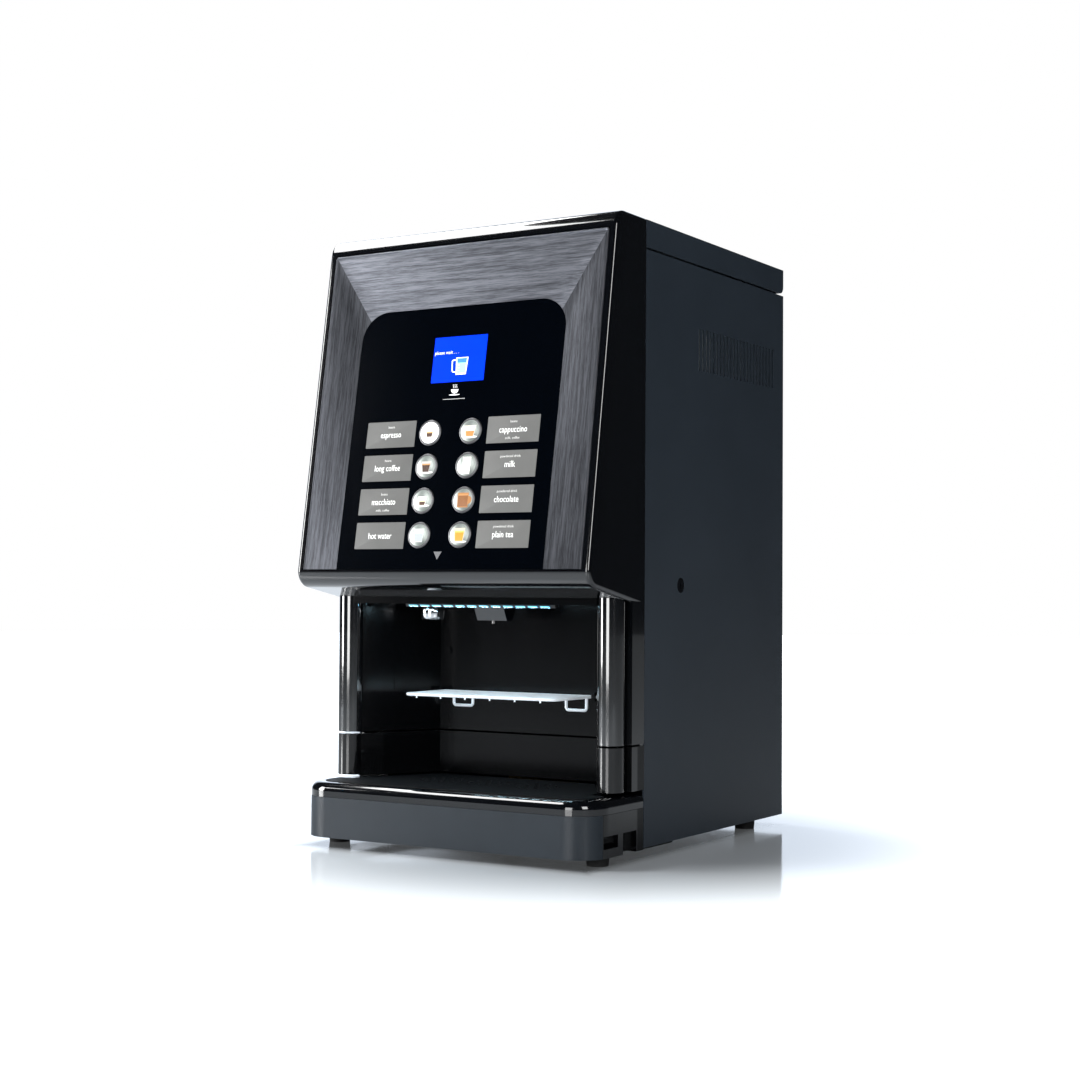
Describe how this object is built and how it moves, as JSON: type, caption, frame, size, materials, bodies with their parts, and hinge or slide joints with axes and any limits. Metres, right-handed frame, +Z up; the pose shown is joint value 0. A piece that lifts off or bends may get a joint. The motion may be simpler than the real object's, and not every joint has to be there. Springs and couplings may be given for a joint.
{
  "type": "hot coffee vending machine",
  "caption": "Table-top hot drinks vending machine: hinged slanted door with buttons, lit niche with fold-up cup shelf, drip tray, rear-hinged cover and dosing works inside.",
  "frame": {"origin": "centre of the overall box at floor level", "axes": "+X to the machine's right as seen from the front, +Y from the front to the back, +Z up; the front is on the -Y side"},
  "size_m": [0.33, 0.4199, 0.6],
  "materials": {
    "gloss_shell": "deep gloss black",
    "painted_steel": "satin charcoal paint, fine texture",
    "brushed_front": "dark anodised, brushed",
    "gloss_panel": "polished black",
    "satin_base": "satin dark slate",
    "label_print": "backlit grey print",
    "button_metal": "radially brushed, satin",
    "screen": "lit blue display",
    "bright_wire": "polished wire",
    "galvanised": "galvanised sheet",
    "steel": "turned steel",
    "brass": "machined brass",
    "clear_plastic": "translucent moulded",
    "black_plastic": "moulded black",
    "white_plastic": "moulded off-white",
    "circuit": "solder-masked board",
    "rubber": "moulded rubber",
    "led": "diffusing lens",
    "chrome_ring": "polished",
    "boiler_steel": "drawn stainless",
    "grille_plastic": "textured black"
  },
  "bodies": {
    "cabinet": {"base_moulding": "gloss_shell", "base_pan": "galvanised", "bean_hopper": "clear_plastic", "boiler": "boiler_steel", "brew_frame": "black_plastic", "fan_frame": "black_plastic", "gear_motors": "steel", "grinder_body": "black_plastic", "grounds_container": "black_plastic", "hinge_brackets": "steel", "hopper_lid": "black_plastic", "inner_frame": "galvanised", "mixer_bowl": "clear_plastic", "panel_screws": "steel", "powder_canisters": "clear_plastic", "power_inlet": "black_plastic", "power_supply": "galvanised", "pump": "brass", "rear_panel": "painted_steel", "rubber_feet": "rubber", "side_panel_left": "painted_steel", "side_panel_right": "painted_steel", "water_tank": "clear_plastic", "works_shelf": "galvanised"},
    "cover": {"top_cover": "painted_steel"},
    "door": {"door_shell": "gloss_shell", "door_liner": "black_plastic", "door_striker": "steel", "fascia_bezel": "brushed_front", "interface_panel": "gloss_panel", "label_plates": "label_print", "display_module": "screen", "control_board": "circuit", "niche_liner": "gloss_shell", "niche_columns": "gloss_shell", "led_strip": "led", "coffee_spout": "black_plastic", "water_nozzle": "chrome_ring"},
    "cup_shelf": {"cup_shelf": "bright_wire"},
    "tray": {"tray_front": "satin_base", "tray_basin": "gloss_shell"},
    "grille": {"drip_grille": "grille_plastic"},
    "lock": {"lock_barrel": "steel"},
    "rocker": {"power_rocker": "black_plastic"},
    "burr": {"grinder_burr": "steel"},
    "auger_1": {"auger_left": "white_plastic"},
    "auger_2": {"auger_middle": "white_plastic"},
    "auger_3": {"auger_right": "white_plastic"},
    "impeller": {"mixer_impeller": "white_plastic"},
    "piston": {"brew_piston": "white_plastic"},
    "spindle": {"brew_spindle": "steel"},
    "fan": {"fan_rotor": "black_plastic"},
    "button_left_1": {"button_left_1": "button_metal"},
    "button_left_2": {"button_left_2": "button_metal"},
    "button_left_3": {"button_left_3": "button_metal"},
    "button_left_4": {"button_left_4": "button_metal"},
    "button_right_1": {"button_right_1": "button_metal"},
    "button_right_2": {"button_right_2": "button_metal"},
    "button_right_3": {"button_right_3": "button_metal"},
    "button_right_4": {"button_right_4": "button_metal"}
  },
  "joints": [
    {"name": "door_hinge", "type": "hinge", "parent": "cabinet", "child": "door", "pos_m": [-0.157, -0.1135, 0.35], "axis": [0, 0, -1], "range_deg": [0, 92]},
    {"name": "cover_hinge", "type": "hinge", "parent": "cabinet", "child": "cover", "pos_m": [0, 0.202, 0.5807], "axis": [-1, 0, 0], "range_deg": [0, 75]},
    {"name": "cup_shelf_fold", "type": "hinge", "parent": "door", "child": "cup_shelf", "pos_m": [0, -0.0655, 0.1465], "axis": [-1, 0, 0], "range_deg": [0, 88]},
    {"name": "tray_slide", "type": "slide", "parent": "cabinet", "child": "tray", "axis": [0, -1, 0], "range_m": [0, 0.15]},
    {"name": "grille_lift", "type": "slide", "parent": "tray", "child": "grille", "axis": [0, 0, 1], "range_m": [0, 0.02]},
    {"name": "lock_turn", "type": "hinge", "parent": "cabinet", "child": "lock", "pos_m": [0.165, -0.0313, 0.2554], "axis": [-1, 0, 0], "range_deg": [0, 90]},
    {"name": "rocker_tip", "type": "hinge", "parent": "cabinet", "child": "rocker", "pos_m": [-0.06, 0.199, 0.082], "axis": [1, 0, 0], "range_deg": [0, 12]},
    {"name": "press_left_1", "type": "slide", "parent": "door", "child": "button_left_1", "axis": [0, 0.9856, -0.1693], "range_m": [0, 0.0015], "stiffness_N_per_m": 400},
    {"name": "press_left_2", "type": "slide", "parent": "door", "child": "button_left_2", "axis": [0, 0.9856, -0.1693], "range_m": [0, 0.0015], "stiffness_N_per_m": 400},
    {"name": "press_left_3", "type": "slide", "parent": "door", "child": "button_left_3", "axis": [0, 0.9856, -0.1693], "range_m": [0, 0.0015], "stiffness_N_per_m": 400},
    {"name": "press_left_4", "type": "slide", "parent": "door", "child": "button_left_4", "axis": [0, 0.9856, -0.1693], "range_m": [0, 0.0015], "stiffness_N_per_m": 400},
    {"name": "press_right_1", "type": "slide", "parent": "door", "child": "button_right_1", "axis": [0, 0.9856, -0.1693], "range_m": [0, 0.0015], "stiffness_N_per_m": 400},
    {"name": "press_right_2", "type": "slide", "parent": "door", "child": "button_right_2", "axis": [0, 0.9856, -0.1693], "range_m": [0, 0.0015], "stiffness_N_per_m": 400},
    {"name": "press_right_3", "type": "slide", "parent": "door", "child": "button_right_3", "axis": [0, 0.9856, -0.1693], "range_m": [0, 0.0015], "stiffness_N_per_m": 400},
    {"name": "press_right_4", "type": "slide", "parent": "door", "child": "button_right_4", "axis": [0, 0.9856, -0.1693], "range_m": [0, 0.0015], "stiffness_N_per_m": 400},
    {"name": "burr_spin", "type": "hinge", "parent": "cabinet", "child": "burr", "pos_m": [0.0995, -0.014, 0.4475], "axis": [0, 0, 1], "continuous": true},
    {"name": "auger_1_spin", "type": "hinge", "parent": "cabinet", "child": "auger_1", "pos_m": [-0.1275, -0.03, 0.4145], "axis": [0, 1, 0], "continuous": true},
    {"name": "auger_2_spin", "type": "hinge", "parent": "cabinet", "child": "auger_2", "pos_m": [-0.0635, -0.03, 0.4145], "axis": [0, 1, 0], "continuous": true},
    {"name": "auger_3_spin", "type": "hinge", "parent": "cabinet", "child": "auger_3", "pos_m": [0.0005, -0.03, 0.4145], "axis": [0, 1, 0], "continuous": true},
    {"name": "impeller_spin", "type": "hinge", "parent": "cabinet", "child": "impeller", "pos_m": [-0.074, -0.09, 0.331], "axis": [0, 1, 0], "continuous": true},
    {"name": "spindle_turn", "type": "hinge", "parent": "cabinet", "child": "spindle", "pos_m": [0.0835, 0.024, 0.3], "axis": [0, 0, 1], "range_deg": [0, 1440]},
    {"name": "piston_lift", "type": "slide", "parent": "cabinet", "child": "piston", "axis": [0, 0, 1], "range_m": [0, 0.016]},
    {"name": "fan_spin", "type": "hinge", "parent": "cabinet", "child": "fan", "pos_m": [-0.07, 0.19, 0.3], "axis": [0, 1, 0], "continuous": true}
  ],
  "couplings": [
    {"joint": "spindle_turn", "follows": "piston_lift", "rad_per_m": 1570.8}
  ]
}
